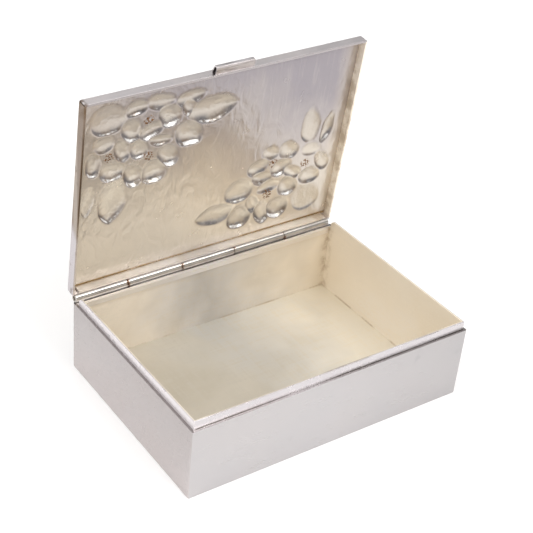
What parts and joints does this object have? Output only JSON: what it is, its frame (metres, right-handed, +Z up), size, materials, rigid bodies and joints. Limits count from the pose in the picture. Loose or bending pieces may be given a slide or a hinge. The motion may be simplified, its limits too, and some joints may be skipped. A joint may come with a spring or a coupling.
{
  "type": "silver stamp box",
  "caption": "Shallow rectangular table box of polished silver sheet, with a raised bezel and a hinged lid worked with blossom sprays, for stamps and other small things.",
  "frame": {"origin": "centre of the underside of the base, under the middle of the box's width and depth", "axes": "+X along the hinge to the right, -Y to the front where the thumb piece is, +Z up; the lid stands open at rest"},
  "size_m": [0.11, 0.0821, 0.1082],
  "materials": {
    "outside_silver": "hand-polished silver with fine scratches",
    "inside_silver": "satin silver with a warm cream tarnish",
    "lid_silver": "satin silver, planished, with raised work",
    "hinge_silver": "polished silver tube, dark in the joints"
  },
  "bodies": {
    "box": {"base_plate": "inside_silver", "front_wall": "outside_silver", "right_wall": "outside_silver", "back_wall": "outside_silver", "left_wall": "outside_silver", "front_liner": "inside_silver", "right_liner": "inside_silver", "back_liner": "inside_silver", "left_liner": "inside_silver", "box_hinge_strip": "inside_silver", "box_knuckle_left": "hinge_silver", "box_knuckle_middle": "hinge_silver", "box_knuckle_right": "hinge_silver", "hinge_pin": "hinge_silver"},
    "lid": {"lid_panel": "lid_silver", "lid_rim_front": "outside_silver", "lid_rim_right": "outside_silver", "lid_rim_back": "outside_silver", "lid_rim_left": "outside_silver", "lid_hinge_strip": "inside_silver", "lid_knuckle_left": "hinge_silver", "lid_knuckle_right": "hinge_silver", "thumb_piece": "outside_silver"}
  },
  "joints": [
    {"name": "lid_hinge", "type": "hinge", "parent": "box", "child": "lid", "pos_m": [0, 0.0396, 0.0278], "axis": [1, 0, 0], "range_deg": [-96, 84]}
  ]
}
